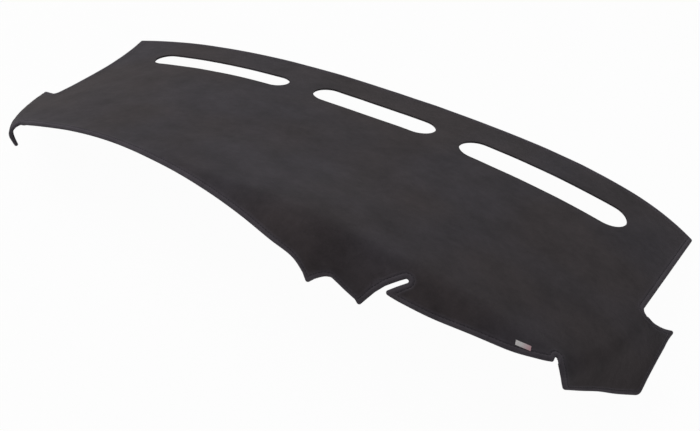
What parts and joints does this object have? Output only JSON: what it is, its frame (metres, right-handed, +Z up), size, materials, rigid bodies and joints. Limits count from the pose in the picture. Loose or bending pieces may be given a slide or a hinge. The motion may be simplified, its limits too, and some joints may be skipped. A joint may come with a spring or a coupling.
{
  "type": "dashboard cover mat",
  "caption": "Moulded carpet cover mat for a vehicle dashboard, with hemmed edges, defroster slots, an instrument arch and turned-down end flaps.",
  "frame": {"origin": "middle of the mat's length and depth, on the surface that the mat stands on", "axes": "+X along the mat's length across the vehicle, from the driver's end to the passenger's end of a left-hand drive car, +Y towards the windscreen, +Z up"},
  "size_m": [1.4828, 0.7262, 0.3184],
  "materials": {
    "carpet": "short brushed polyester carpet, charcoal",
    "label": "plain woven satin tape, off white"
  },
  "bodies": {
    "root": {"carpet_mat": "carpet", "woven_label": "label"}
  },
  "joints": []
}
